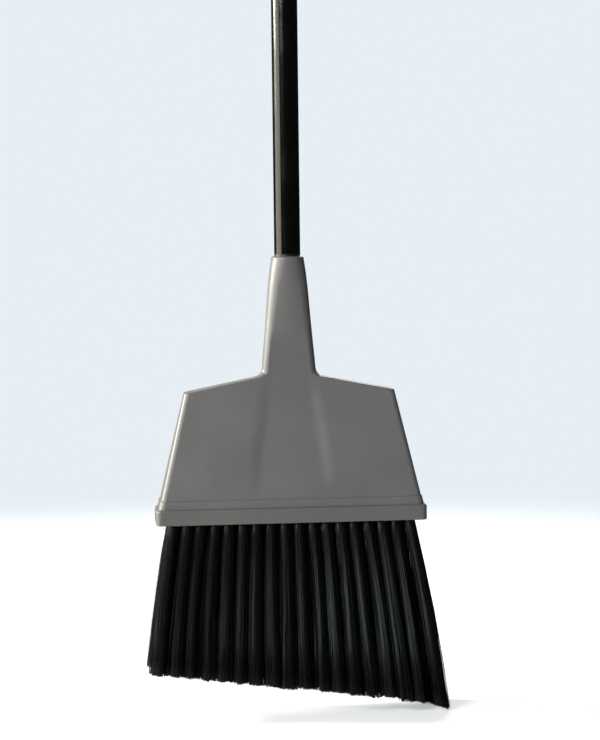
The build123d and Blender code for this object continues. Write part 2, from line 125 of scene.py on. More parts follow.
class BristleSettings(bpy.types.PropertyGroup):
    """Sizes of the tufts and of the filaments in them."""

    filaments: IntProperty(
        name="Filaments per Tuft", description="Filament ends that hang from one hole",
        default=260, min=1)
    filament_diameter: FloatProperty(
        name="Filament Diameter", description="Thickness of one filament",
        default=0.00052, unit="LENGTH", precision=5)
    tuft_diameter: FloatProperty(
        name="Tuft Diameter", description="Width of a tuft where it leaves its hole",
        default=0.0095, unit="LENGTH", precision=4)
    root_depth: FloatProperty(
        name="Root Depth", description="How far the filaments start inside the hole",
        default=0.004, unit="LENGTH", precision=4)
    swell: FloatProperty(
        name="Swell", description="How much wider a tuft grows just below its hole, to each side",
        default=0.0007, unit="LENGTH", precision=4)
    swell_length: FloatProperty(
        name="Swell Length", description="How soon below the hole a tuft has swollen",
        default=0.006, unit="LENGTH", precision=4)
    tip_width: FloatProperty(
        name="Tip Width", description="Width of a tuft at its tips, along the head",
        default=0.0160, unit="LENGTH", precision=4)
    tip_depth: FloatProperty(
        name="Tip Depth", description="Width of a tuft at its tips, from front to back",
        default=0.0170, unit="LENGTH", precision=4)
    fan_sideways: FloatProperty(
        name="Fan Sideways", description="How far the outermost tufts lean outwards",
        default=math.radians(8.0), unit="ROTATION")
    fan_lean: FloatProperty(
        name="Fan Lean", description="How far the whole fan leans to the long side",
        default=math.radians(0.9), unit="ROTATION")
    fan_front_back: FloatProperty(
        name="Fan Front Back", description="How far the front and back rows lean outwards",
        default=math.radians(3.5), unit="ROTATION")
    fan_curve: FloatProperty(
        name="Fan Curve", description="How much more a tuft leans near its root than near its tips",
        default=0.3, subtype="FACTOR", min=0, max=1)
    trim_length: FloatProperty(
        name="Trim Length", description="Length of the bristles under the handle",
        default=0.1535, unit="LENGTH", precision=4)
    trim_slope: FloatProperty(
        name="Trim Slope", description="Slant of the line that the tips are cut along",
        default=math.radians(7.2), unit="ROTATION")
    trim_hook: FloatProperty(
        name="Trim Hook", description="How far that line hooks down at its long end",
        default=0.0022, unit="LENGTH", precision=4)
    hook_start: FloatProperty(
        name="Hook Start", description="Where the hook starts, measured from the handle's axis",
        default=0.095, unit="LENGTH", precision=4)
    bow: FloatProperty(
        name="Bow", description="How far a filament bows between its root and its tip",
        default=0.0010, unit="LENGTH", precision=4)
    wander: FloatProperty(
        name="Wander", description="How far a tip strays from its place in the tuft",
        default=0.0016, unit="LENGTH", precision=4)
    clump: FloatProperty(
        name="Clump", description="How far neighbouring tips stray together",
        default=0.003, unit="LENGTH", precision=4)
    clump_scale: FloatProperty(
        name="Clump Scale", description="How many clumps a tuft falls into, across its radius",
        default=1.5, min=0)
    ragged: FloatProperty(
        name="Ragged", description="How unevenly filaments are cut",
        default=0.0016, unit="LENGTH", precision=4)
    tuft_ragged: FloatProperty(
        name="Tuft Ragged", description="How unevenly whole tufts are cut",
        default=0.0022, unit="LENGTH", precision=4)
    tuft_lean: FloatProperty(
        name="Tuft Lean", description="How much a tuft leans by chance",
        default=math.radians(0.5), unit="ROTATION")
    tuft_bend: FloatProperty(
        name="Tuft Bend", description="How much a tuft bends sideways by chance",
        default=0.0014, unit="LENGTH", precision=4)
    roundness: FloatProperty(
        name="Roundness", description="How much the filaments of a tuft shade together, as one strand",
        default=2.6, min=0)
    seed: IntProperty(name="Seed", description="Picks the chance values", default=11)


class PlateSettings(bpy.types.PropertyGroup):
    """Sizes of the drilled underside that the tufts hang from."""

    hole_depth: FloatProperty(
        name="Hole Depth", description="Depth of a tuft's hole",
        default=0.0045, unit="LENGTH", precision=4)
    end_margin: FloatProperty(
        name="End Margin", description="Plate beyond the last hole of a row",
        default=0.0011, unit="LENGTH", precision=4)
    seam: FloatProperty(
        name="Seam", description="Gap beside the plate of the next row",
        default=0.0002, unit="LENGTH", precision=5)


class ThreadSettings(bpy.types.PropertyGroup):
    """Sizes of the handle's thread and of the thread in the socket."""

    pitch: FloatProperty(
        name="Pitch", description="Rise of the thread in one turn",
        default=0.00508, unit="LENGTH", precision=5)
    depth: FloatProperty(
        name="Depth", description="Height of the thread's ridge",
        default=0.0017, unit="LENGTH", precision=5)
    crest: FloatProperty(
        name="Crest", description="Share of the pitch that the ridge's flat top takes",
        default=0.28, subtype="FACTOR", min=0, max=1)
    flank: FloatProperty(
        name="Flank", description="Share of the pitch that each sloping side takes",
        default=0.15, subtype="FACTOR", min=0, max=1)
    row_step: FloatProperty(
        name="Row Step", description="Height between the mesh's rows",
        default=0.00028, unit="LENGTH", precision=5)
    lead: FloatProperty(
        name="Lead", description="Chamfer at the stud's end",
        default=0.0025, unit="LENGTH", precision=4)
    run_out: FloatProperty(
        name="Run Out", description="Stretch over which the ridge fades at each end",
        default=0.003, unit="LENGTH", precision=4)
    stud_diameter: FloatProperty(
        name="Stud Diameter", description="Outside of the thread",
        default=0.019, unit="LENGTH", precision=4)
    stud_length: FloatProperty(
        name="Stud Length", description="Length below the flange",
        default=0.038, unit="LENGTH", precision=4)
    flange: FloatProperty(
        name="Flange", description="Thickness of the flange under the tube",
        default=0.002, unit="LENGTH", precision=4)
    bore: FloatProperty(
        name="Bore", description="Core of the tip, open at the top",
        default=0.009, unit="LENGTH", precision=4)
    end_wall: FloatProperty(
        name="End Wall", description="Wall under the core",
        default=0.006, unit="LENGTH", precision=4)
    press_gap: FloatProperty(
        name="Press Gap", description="Gap round the plug in the tube",
        default=0.00005, unit="LENGTH", precision=5)
    tube_wall: FloatProperty(
        name="Tube Wall", description="Wall of the steel tube",
        default=0.0008, unit="LENGTH", precision=5)
    socket_gap: FloatProperty(
        name="Socket Gap", description="Room between the stud and the socket's wall",
        default=0.00028, unit="LENGTH", precision=5)
    socket_lead: FloatProperty(
        name="Socket Lead", description="Plain stretch at the socket's mouth",
        default=0.002, unit="LENGTH", precision=4)


class ScrewSettings(bpy.types.PropertyGroup):
    """Sizes of the screws that hold the block."""

    shank_diameter: FloatProperty(
        name="Shank Diameter", description="Outside of the screw's thread",
        default=0.0035, unit="LENGTH", precision=4)
    head_height: FloatProperty(
        name="Head Height", description="Height of the pan head",
        default=0.0024, unit="LENGTH", precision=4)
    pitch: FloatProperty(
        name="Pitch", description="Rise of the screw's thread in one turn",
        default=0.0014, unit="LENGTH", precision=4)
    depth: FloatProperty(
        name="Depth", description="Height of the screw's ridge",
        default=0.0005, unit="LENGTH", precision=5)
    slot_width: FloatProperty(
        name="Slot Width", description="Width of the cross recess",
        default=0.0009, unit="LENGTH", precision=5)
    slot_length: FloatProperty(
        name="Slot Length", description="Length of the cross recess",
        default=0.0038, unit="LENGTH", precision=4)
    slot_depth: FloatProperty(
        name="Slot Depth", description="Depth of the cross recess",
        default=0.0014, unit="LENGTH", precision=4)


class FinishSettings(bpy.types.PropertyGroup):
    """Colours of the surfaces."""

    shell: FloatVectorProperty(
        name="Shell", description="Grey of the moulded shell",
        subtype="COLOR", default=(0.128, 0.128, 0.129))
    block: FloatVectorProperty(
        name="Block", description="Grey of the tuft block",
        subtype="COLOR", default=(0.112, 0.1115, 0.109))
    vinyl: FloatVectorProperty(
        name="Vinyl", description="Black of the handle's sleeve",
        subtype="COLOR", default=(0.0022, 0.0022, 0.0019))
    cap: FloatVectorProperty(
        name="Cap", description="Black of the hang cap",
        subtype="COLOR", default=(0.009, 0.009, 0.009))
    nylon: FloatVectorProperty(
        name="Nylon", description="Black of the threaded tip",
        subtype="COLOR", default=(0.014, 0.014, 0.014))
    bristle: FloatVectorProperty(
        name="Bristle", description="Black of the filaments",
        subtype="COLOR", default=(0.0028, 0.0030, 0.0030))
    dust: FloatVectorProperty(
        name="Dust", description="Dust that settles on ledges and tips",
        subtype="COLOR", default=(0.30, 0.28, 0.25))
    steel: FloatVectorProperty(
        name="Steel", description="Drawn steel of the tube and the anchors",
        subtype="COLOR", default=(0.52, 0.52, 0.53))
    zinc: FloatVectorProperty(
        name="Zinc", description="Plating of the screws",
        subtype="COLOR", default=(0.60, 0.62, 0.64))


class StageSettings(bpy.types.PropertyGroup):
    """The floor, the lights and the camera."""

    floor: FloatVectorProperty(
        name="Floor", description="Colour of the floor",
        subtype="COLOR", default=(0.80, 0.82, 0.84))
    backdrop: FloatVectorProperty(
        name="Backdrop", description="Colour behind the object",
        subtype="COLOR", default=(0.80, 0.86, 0.91))
    room: FloatProperty(
        name="Room Light", description="How much light the room gives from all sides", default=0.08)
    reflected_room: FloatProperty(
        name="Reflected Room", description="How bright the room and the floor are in reflections",
        default=0.03)
    floor_glow: FloatProperty(
        name="Floor Glow", description="How much the floor's shadows are lifted in the picture",
        default=0.55)
    floor_solid: FloatProperty(
        name="Solid Floor", description="Radius within which the floor is solid",
        default=0.75, unit="LENGTH")
    floor_end: FloatProperty(
        name="Floor End", description="Radius at which the floor has faded out",
        default=1.5, unit="LENGTH")
    fill_power: FloatProperty(
        name="Fill Power", description="Light from the left and the front", default=39.0, unit="POWER")
    key_power: FloatProperty(
        name="Key Power", description="Light from the left, a little behind", default=104.0, unit="POWER")
    card_power: FloatProperty(
        name="Card Power", description="Light of the wide low card on the left",
        default=16.0, unit="POWER")
    back_power: FloatProperty(
        name="Back Power", description="Light from behind", default=20.0, unit="POWER")
    sheen_power: FloatProperty(
        name="Sheen Power", description="Light of the low gridded card before the bristles",
        default=0.019, unit="POWER")
    azimuth: FloatProperty(
        name="Azimuth", description="How far the camera stands to the left of the front",
        default=math.radians(5.5), unit="ROTATION")
    elevation: FloatProperty(
        name="Elevation", description="How far the camera looks down",
        default=math.radians(5), unit="ROTATION")
    roll: FloatProperty(
        name="Roll", description="How far the camera leans to its left",
        default=math.radians(0.7), unit="ROTATION")
    distance: FloatProperty(
        name="Distance", description="From the camera to the point it aims at",
        default=2.3, unit="LENGTH")
    view_height: FloatProperty(
        name="View Height", description="Height of the picture at that point",
        default=0.6783, unit="LENGTH")
    aim: FloatVectorProperty(
        name="Aim", description="Point in the middle of the picture",
        subtype="TRANSLATION", default=(0.0104, 0.0, 0.3166))


SETTINGS = {
    "broom_bristles": BristleSettings,
    "broom_plate": PlateSettings,
    "broom_thread": ThreadSettings,
    "broom_screws": ScrewSettings,
    "broom_finish": FinishSettings,
    "broom_stage": StageSettings,
}


def labelled(settings):
    """A group's values by the names that a user reads."""
    own = [prop for prop in settings.bl_rna.properties if prop.identifier not in ("rna_type", "name")]
    return {prop.name: getattr(settings, prop.identifier) for prop in own}


# Node trees written as formulas

class Field:
    """A number in a node tree. Arithmetic on it adds the nodes."""

    def __init__(self, wires, socket):
        self.wires = wires
        self.socket = socket

    def __add__(self, other):
        return self.do("ADD", other)

    def __sub__(self, other):
        return self.do("SUBTRACT", other)

    def __rsub__(self, other):
        return self.wires.math("SUBTRACT", other, self)

    def __mul__(self, other):
        return self.do("MULTIPLY", other)

    def __truediv__(self, other):
        return self.do("DIVIDE", other)

    __radd__ = __add__

    def do(self, operation, *others):
        """The result of any other operation of a math node."""
        return self.wires.math(operation, self, *others)

    def ramp(self, low, high):
        """Rises smoothly from 0 at one value to 1 at another."""
        inputs = {"Value": self, "From Min": low, "From Max": high}
        risen = self.wires.made("ShaderNodeMapRange", inputs, "Result", interpolation_type="SMOOTHSTEP")
        return Field(self.wires, risen)


class Wires:
    """Adds nodes to one tree and links them."""

    def __init__(self, tree):
        self.tree = tree

    def node(self, kind, **settings):
        """A new node with its settings."""
        node = self.tree.nodes.new(kind)
        for name, value in settings.items():
            setattr(node, name, value)
        return node

    def feed(self, socket, value):
        """Links a socket to a field or another socket, or sets a plain value on it."""
        value = value.socket if isinstance(value, Field) else value
        if isinstance(value, bpy.types.NodeSocket):
            self.tree.links.new(value, socket)
        else:
            socket.default_value = value

    def made(self, kind, inputs, output=0, **settings):
        """The output of a new node whose inputs are given by name or number."""
        node = self.node(kind, **settings)
        for name, value in inputs.items():
            self.feed(node.inputs[name], value)
        return node.outputs[output]

    def math(self, operation, *values):
        return Field(self, self.made("ShaderNodeMath", dict(enumerate(values)), operation=operation))

    def split(self, vector):
        node = self.node("ShaderNodeSeparateXYZ")
        self.feed(node.inputs[0], vector)
        return [Field(self, socket) for socket in node.outputs]

    def joined(self, x, y, z):
        return self.made("ShaderNodeCombineXYZ", {"X": x, "Y": y, "Z": z})

    def unit(self, vector):
        return self.made("ShaderNodeVectorMath", {0: vector}, operation="NORMALIZE")

    def mixed(self, share, first, second):
        """A colour between two colours."""
        node = self.node("ShaderNodeMix", data_type="RGBA")
        colours = [s for s in node.inputs if s.type == "RGBA"]
        self.feed(node.inputs["Factor"], share)
        self.feed(colours[0], first)
        self.feed(colours[1], second)
        return next(s for s in node.outputs if s.type == "RGBA")

    def noise(self, place, scale, detail):
        inputs = {"Vector": place, "Scale": scale, "Detail": detail}
        return Field(self, self.made("ShaderNodeTexNoise", inputs))


def new_tree(kind, name, inputs, outputs):
    """A node group with named inputs and outputs. Returns its wires, its inputs as fields and its end."""
    tree = bpy.data.node_groups.new(name, kind)
    sockets = {float: "NodeSocketFloat", int: "NodeSocketInt"}
    for label, value in inputs.items():
        socket_type = value if isinstance(value, str) else sockets[type(value)]
        socket = tree.interface.new_socket(label, in_out="INPUT", socket_type=socket_type)
        if not isinstance(value, str):
            socket.default_value = value
    for label, socket_type in outputs.items():
        tree.interface.new_socket(label, in_out="OUTPUT", socket_type=socket_type)
    wires = Wires(tree)
    entry = wires.node("NodeGroupInput")
    given = {label: Field(wires, entry.outputs[label]) for label in inputs}
    return wires, given, wires.node("NodeGroupOutput")


def geometry_tree(name, inputs):
    """A geometry tree that takes a mesh, some sizes and a material."""
    inputs = {"Geometry": "NodeSocketGeometry", **inputs, "Material": "NodeSocketMaterial"}
    return new_tree("GeometryNodeTree", name, inputs, {"Geometry": "NodeSocketGeometry"})


def finished_tree(wires, given, end, mesh):
    """Ends a geometry tree in one plain mesh with its material."""
    mesh = wires.made("GeometryNodeRealizeInstances", {"Geometry": mesh})
    mesh = wires.made("GeometryNodeSetMaterial", {"Geometry": mesh, "Material": given["Material"]})
    wires.feed(end.inputs["Geometry"], mesh)
    return wires.tree


def grown(name, seed, tree, values):
    """Runs a geometry tree on a mesh and returns what it makes as a plain mesh."""
    holder = bpy.data.objects.new(name, seed)
    bpy.context.scene.collection.objects.link(holder)
    modifier = holder.modifiers.new("Growth", "NODES")
    modifier.node_group = tree
    items = [item for item in tree.interface.items_tree if item.item_type == "SOCKET"]
    identifiers = {item.name: item.identifier for item in items if item.in_out == "INPUT"}
    for label, value in values.items():
        modifier[identifiers[label]] = value
    depsgraph = bpy.context.evaluated_depsgraph_get()
    mesh = bpy.data.meshes.new_from_object(holder.evaluated_get(depsgraph))
    holder.modifiers.clear()
    bpy.data.objects.remove(holder)
    if not mesh.polygons:
        raise RuntimeError(f"{name}: its geometry tree made no faces")
    return mesh


def point_cloud(name, points):
    mesh = bpy.data.meshes.new(name)
    mesh.from_pydata(points, [], [])
    return mesh


def piece(name, mesh, body, replaced):
    """A finished piece that moves with a body and stands for some nodes."""
    mesh.name = name
    made = bpy.data.objects.new(name, mesh)
    bpy.context.scene.collection.objects.link(made)
    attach(made, body)
    if replaced:
        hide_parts(*replaced)


def dress(node, material):
    """Gives a node of the frame another material."""
    slots = NODES[node].data.materials
    for index in range(len(slots)):
        slots[index] = material


# Surface effects that several materials share

def shared_group(name, inputs, outputs, build):
    """A shader group that is built the first time it is asked for."""
    if name not in bpy.data.node_groups:
        sockets = dict.fromkeys(outputs, "NodeSocketFloat")
        wires, given, end = new_tree("ShaderNodeTree", name, inputs, sockets)
        place = wires.made("ShaderNodeTexCoord", {}, "Object")
        for label, value in zip(outputs, build(wires, given, place)):
            wires.feed(end.inputs[label], value)
    return bpy.data.node_groups[name]


def moulded_surface():
    """Slow flow marks and the fine grain of a mould."""
    def build(wires, given, place):
        flow = wires.noise(place, given["Flow Scale"], 3.0)
        grain = wires.noise(place, given["Grain Scale"], 3.0)
        return flow.ramp(0.3, 0.7), grain
    inputs = {"Flow Scale": 22.0, "Grain Scale": 1900.0}
    return shared_group("Moulded Surface", inputs, ("Flow", "Grain"), build)


def fine_scuffs():
    """Short scratches, in patches where a surface is handled or knocks against things."""
    def build(wires, given, place):
        def scratches(angle):
            drawn_out = wires.made("ShaderNodeMapping", {
                "Vector": place, "Rotation": (0.2, angle, 0.3), "Scale": (1.0, 1.0, 0.06)})
            off_line = (wires.noise(drawn_out, given["Scale"], 1.0) - 0.5).do("ABSOLUTE")
            return 1.0 - off_line.ramp(0.0, given["Width"])
        patches = wires.noise(place, given["Patch Scale"], 2.0).ramp(0.5, 0.72)
        return [scratches(0.5).do("MAXIMUM", scratches(-0.9)) * patches]
    inputs = {"Scale": 420.0, "Width": 0.012, "Patch Scale": 34.0}
    return shared_group("Fine Scuffs", inputs, ("Mask",), build)


def settled_dust():
    """Dust on what faces up."""
    def build(wires, given, place):
        normal = wires.split(wires.made("ShaderNodeNewGeometry", {}, "Normal"))
        patches = wires.noise(place, given["Patch Scale"], 4.0).ramp(0.35, 0.75)
        return [normal[2].ramp(0.1, 0.95) * patches]
    return shared_group("Settled Dust", {"Patch Scale": 260.0}, ("Mask",), build)


def drawn_lines():
    """Fine lines along the handle, as drawing steel or extruding vinyl leaves them."""
    def build(wires, given, place):
        stretched = wires.made("ShaderNodeMapping", {
            "Vector": place, "Scale": wires.joined(1.0, 1.0, given["Stretch"])})
        return [wires.noise(stretched, given["Scale"], 2.0)]
    return shared_group("Drawn Lines", {"Scale": 1500.0, "Stretch": 0.02}, ("Lines",), build)


class Finish:
    """A material with a Principled shader, and short ways to feed it."""

    def __init__(self, name):
        self.material = bpy.data.materials.new(name)
        self.material.use_nodes = True
        self.material.node_tree.nodes.clear()
        self.wires = Wires(self.material.node_tree)
        self.shader = self.wires.node("ShaderNodeBsdfPrincipled")
        end = self.wires.node("ShaderNodeOutputMaterial")
        self.wires.feed(end.inputs["Surface"], self.shader.outputs["BSDF"])
        self.place = self.wires.made("ShaderNodeTexCoord", {}, "Object")

    def feed(self, node, values):
        """Feeds a node's inputs, given by their names in small letters."""
        for name, value in values.items():
            self.wires.feed(node.inputs[name.replace("_", " ").title()], value)

    def set(self, **values):
        self.feed(self.shader, values)

    def effect(self, tree, **values):
        """A shared group's outputs, as fields."""
        node = self.wires.node("ShaderNodeGroup", node_tree=tree)
        self.feed(node, values)
        return [Field(self.wires, socket) for socket in node.outputs]

    def attribute(self, name):
        return Field(self.wires, self.wires.made("ShaderNodeAttribute", {}, "Fac", attribute_name=name))

    def noise(self, scale, detail):
        return self.wires.noise(self.place, scale, detail)

    def bump(self, height, distance, normal=None):
        inputs = {"Height": height, "Distance": distance}
        if normal is not None:
            inputs["Normal"] = normal
        self.set(normal=self.wires.made("ShaderNodeBump", inputs))


def tint(colour, factor=1.0):
    return (*(channel * factor for channel in colour), 1.0)


# Materials

def soft_panel(wires, place):
    """Normals that spread the edges of the shell's recessed panel and let them fade out up the neck."""
    x, _, z = wires.split(place)
    height = z - SHELL_LOW.z
    half_width = PANEL_FOOT_HALF - height * PANEL_TAPER
    away = x.do("ABSOLUTE")

    # A soft band along each edge, strongest low down
    line = half_width + PANEL_EDGE
    band = away.ramp(line - PANEL_SOFTNESS, line) * (1.0 - away.ramp(line, line + PANEL_SOFTNESS))
    slope = height.ramp(*PANEL_START) * (1.0 - height.ramp(*PANEL_FADE) * PANEL_FADED) * PANEL_SLOPE

    # The solid's own edges are flattened where the shell faces nearly forwards or backwards
    near, far = PANEL_SIDE
    inside = 1.0 - away.ramp(half_width + near, half_width + far)
    flat = inside * (1.0 - height.ramp(*PANEL_TOP))
    normal_x, normal_y, normal_z = wires.split(wires.made("ShaderNodeNewGeometry", {}, "Normal"))
    forwards = 1.0 - normal_x.do("ABSOLUTE").ramp(*SIDEWAYS)
    softened = normal_x * (1.0 - flat * forwards) - x.do("SIGN") * band * slope * forwards
    return wires.unit(wires.joined(softened, normal_y, normal_z))


def moulded_plastic(name, colour, dust, roughness, grain_depth, worn, normals=None):
    """Satin moulded plastic with flow marks, mould grain, scuffs and a little dust."""
    finish = Finish(name)
    flow, grain = finish.effect(moulded_surface())
    scuffs, = finish.effect(fine_scuffs())
    settled, = finish.effect(settled_dust())
    pits = grain.ramp(0.3, 0.8) * 0.25
    body = finish.wires.mixed(flow, tint(colour, 0.95), tint(colour, 1.05))
    body = finish.wires.mixed(pits, body, tint(colour, 0.8))
    body = finish.wires.mixed(scuffs * worn, body, tint(colour, 1.7))
    finish.set(
        base_color=finish.wires.mixed(settled * 0.16, body, tint(dust)),
        roughness=roughness + flow * 0.05 + scuffs * (0.25 * worn) + settled * 0.12 + grain * 0.06,
    )
    normal = normals(finish.wires, finish.place) if normals else None
    finish.bump(grain - scuffs * 0.5, grain_depth, normal)
    return finish.material


def shell_plastic(colours):
    return moulded_plastic("grey_shell", colours.shell, colours.dust,
                           roughness=0.36, grain_depth=0.00005, worn=0.25, normals=soft_panel)


def block_plastic(colours):
    return moulded_plastic("grey_block", colours.block, colours.dust,
                           roughness=0.44, grain_depth=0.00007, worn=0.35)


def cap_plastic(colours):
    return moulded_plastic("black_cap", colours.cap, colours.dust,
                           roughness=0.34, grain_depth=0.00005, worn=0.2)


def nylon(colours):
    return moulded_plastic("black_nylon", colours.nylon, colours.dust,
                           roughness=0.38, grain_depth=0.00003, worn=0.3)


def vinyl(colours):
    """Glossy extruded vinyl: faint lines along the handle, ripples, smudges and hairline scratches."""
    finish = Finish("black_vinyl")
    lines, = finish.effect(drawn_lines(), scale=900.0, stretch=0.004)
    scuffs, = finish.effect(fine_scuffs(), scale=300.0, width=0.008, patch_scale=9.0)
    ripple = finish.noise(130.0, 1.0)
    smudge = finish.noise(24.0, 4.0).ramp(0.4, 0.7)
    body = finish.wires.mixed(smudge, tint(colours.vinyl, 0.85), tint(colours.vinyl, 1.25))
    finish.set(
        base_color=finish.wires.mixed(scuffs * 0.3, body, tint(colours.dust, 0.2)),
        roughness=0.13 + smudge * 0.07 + scuffs * 0.2,
    )
    finish.bump(lines * 0.5 + ripple * 0.5 - scuffs * 0.3, distance=0.00004)
    return finish.material


def filament(colours):
    """Black synthetic filament. Each has its own shade, and the cut tips are rougher and dusty."""
    finish = Finish("black_filament")
    shade = finish.attribute("shade")
    along = finish.attribute("along")
    specks = finish.noise(500.0, 2.0).ramp(0.6, 0.8)
    body = finish.wires.mixed(shade, tint(colours.bristle, 0.6), tint(colours.bristle, 1.7))
    dusty = along.ramp(0.9, 1.0) * (0.02 + shade * 0.04) + specks * 0.02
    finish.set(
        base_color=finish.wires.mixed(dusty, body, tint(colours.dust, 0.6)),
        roughness=0.18 + shade * 0.16 + along.ramp(0.85, 1.0) * 0.2,
    )
    return finish.material


def metal(name, colour, roughness, lines_scale):
    """Drawn or plated metal with fine lines and a mottled tone."""
    finish = Finish(name)
    lines, = finish.effect(drawn_lines(), scale=lines_scale)
    tone = finish.noise(180.0, 3.0)
    finish.set(
        base_color=finish.wires.mixed(tone, tint(colour, 0.85), tint(colour, 1.1)),
        roughness=roughness + lines * 0.12 + tone.ramp(0.5, 0.8) * 0.08,
        metallic=1.0,
    )
    finish.bump(lines, distance=0.00002)
    return finish.material


# Turned shapes

def ring(radius, height):
    return lambda angle: (radius, height)


def turned(name, rings, loop=False):
    """A mesh turned about the Z axis. A ring gives a radius and a height for each angle."""
    rows = [[] for _ in rings]
    work = bmesh.new()
    for row, place in zip(rows, rings):
        for step in range(RING_STEPS):
            angle = FULL_TURN * step / RING_STEPS
            radius, height = place(angle)
            row.append(work.verts.new((radius * math.cos(angle), radius * math.sin(angle), height)))
    pairs = list(zip(rows, rows[1:])) + [(rows[-1], rows[0])] * loop
    for lower, upper in pairs:
        for step in range(RING_STEPS):
            after = (step + 1) % RING_STEPS
            work.faces.new((lower[step], lower[after], upper[after], upper[step]))
    bmesh.ops.remove_doubles(work, verts=work.verts, dist=WELD)
    bmesh.ops.dissolve_degenerate(work, edges=work.edges, dist=WELD)
    bmesh.ops.recalc_face_normals(work, faces=work.faces)
    mesh = bpy.data.meshes.new(name)
    work.to_mesh(mesh)
    work.free()
    mesh.shade_smooth()
    mesh.set_sharp_from_angle(angle=SHARP_ANGLE)
    return mesh


def ridge(height, angle, pitch, crest, flank):
    """Share of a thread's ridge at a height and an angle, from 0 in the groove to 1 on the crest."""
    phase = (height / pitch - angle / FULL_TURN) % 1.0
    off_centre = abs(phase - 0.5)
    return min(1.0, max(0.0, (crest / 2 + flank - off_centre) / flank))


def fade(height, low, high, length):
    """1 between two heights, falling to 0 at both."""
    return max(0.0, min(1.0, (height - low) / length, (high - height) / length))


def steps_between(low, high, step):
    count = max(1, math.ceil((high - low) / step))
    return [low + (high - low) * index / count for index in range(count + 1)]


def threaded_tip_mesh(sizes):
    """Stud with its thread, flange and plug, cored from the top."""
    bottom = MOUTH - sizes.stud_length
    stud = sizes.stud_diameter / 2
    plug = TUBE_HIGH.x - sizes.tube_wall - sizes.press_gap

    def threaded(height):
        share = fade(height, bottom, MOUTH, sizes.run_out)

        def place(angle):
            rise = ridge(height, angle, sizes.pitch, sizes.crest, sizes.flank) * share
            radius = stud - sizes.depth * (1 - rise)
            return min(radius, stud - sizes.lead + height - bottom), height
        return place
    rings = [ring(0, bottom)]
    rings += [threaded(height) for height in steps_between(bottom, MOUTH, sizes.row_step)]
    rings += [
        ring(SLEEVE_HIGH.x, MOUTH),
        ring(SLEEVE_HIGH.x, MOUTH + sizes.flange),
        ring(plug, MOUTH + sizes.flange),
        ring(plug, TIP_HIGH.z),
        ring(sizes.bore / 2, TIP_HIGH.z),
        ring(sizes.bore / 2, bottom + sizes.end_wall),
        ring(0, bottom + sizes.end_wall),
    ]
    return turned("threaded_tip", rings)


def socket_thread_mesh(sizes):
    """The thread inside the socket: ridges that stand in the grooves of the stud's thread."""
    low = MOUTH - sizes.stud_length
    high = MOUTH - sizes.socket_lead
    wall = sizes.stud_diameter / 2 + sizes.socket_gap
    groove = wall - sizes.socket_gap / 4  # keeps the liner clear of the socket's own wall

    def threaded(height):
        share = fade(height, low, high, sizes.run_out)

        def place(angle):
            rise = ridge(height + sizes.pitch / 2, angle, sizes.pitch, sizes.crest, sizes.flank) * share
            return groove - (sizes.depth - sizes.socket_gap) * rise, height
        return place
    inside = [threaded(height) for height in steps_between(low, high, sizes.row_step)]
    return turned("socket_thread", [ring(wall, low)] + inside + [ring(wall, high)], loop=True)


def screw_mesh(sizes):
    """A pan-head screw that points up, with a cross recess in its head."""
    head = SCREW_HIGH.y
    top = SCREW_HIGH.z - SCREW_LOW.z
    core = sizes.shank_diameter / 2 - sizes.depth

    def face(radius):
        crown = sizes.head_height * HEAD_CROWN * (radius / head) ** CROWN_POWER

        def place(angle):
            across, along = sorted((radius * abs(math.cos(angle)), radius * abs(math.sin(angle))))
            height = crown
            if across < sizes.slot_width / 2 and along < sizes.slot_length / 2:
                height += sizes.slot_depth * math.sqrt(1 - 2 * along / sizes.slot_length)
            return radius, height
        return place

    def threaded(height):
        share = fade(height, sizes.head_height, top, 2 * sizes.pitch)

        def place(angle):
            rise = ridge(height, angle, sizes.pitch, SCREW_CREST, SCREW_FLANK) * share
            return min(core + sizes.depth * rise, (top - height) * POINT_SLOPE), height
        return place
    rings = [face(head * index / HEAD_STEPS) for index in range(HEAD_STEPS + 1)]
    rings += [ring(head, sizes.head_height)]
    heights = steps_between(sizes.head_height, top, sizes.pitch / SCREW_ROWS)
    rings += [threaded(height) for height in heights]
    return turned("screw", rings)


# Tufts

def tuft_rows():
    """The tufts' places on the rim, row by row from front to back, read from the anchors."""
    work = bmesh.new()
    work.from_mesh(NODES["tuft_anchors"].data)
    bmesh.ops.remove_doubles(work, verts=work.verts, dist=WELD)
    rows = {}
    walked = set()
    for start in work.verts:
        if start in walked:
            continue
        walked.add(start)
        anchor = [start]
        for vert in anchor:
            near = [edge.other_vert(vert) for edge in vert.link_edges]
            fresh = [other for other in near if other not in walked]
            walked.update(fresh)
            anchor.extend(fresh)
        centre = sum((vert.co for vert in anchor), Vector()) / len(anchor)
        rows.setdefault(round(centre.y, ROW_DIGITS), []).append((centre.x, centre.y, RIM))
    work.free()
    if len(rows) != len(ROW_NAMES):
        raise RuntimeError(f"the anchors lie in {len(rows)} rows, not {len(ROW_NAMES)}")
    return [[Vector(place) for place in sorted(rows[offset])] for offset in sorted(rows)]


def chance(wires, identity, seed, low, high):
    """Three chance numbers for each identity."""
    return wires.split(wires.made("FunctionNodeRandomValue", {
        0: (low,) * 3, 1: (high,) * 3, "ID": identity, "Seed": seed}, data_type="FLOAT_VECTOR"))


def captured(wires, geometry, values):
    """Keeps fields as they are at this point of the tree. Returns the geometry and the kept fields."""
    node = wires.node("GeometryNodeCaptureAttribute", domain="POINT")
    wires.feed(node.inputs[0], geometry)
    for label in values:
        node.capture_items.new("FLOAT", label)
    for label, value in values.items():
        wires.feed(node.inputs[label], value)
    return node.outputs[0], {label: Field(wires, node.outputs[label]) for label in values}


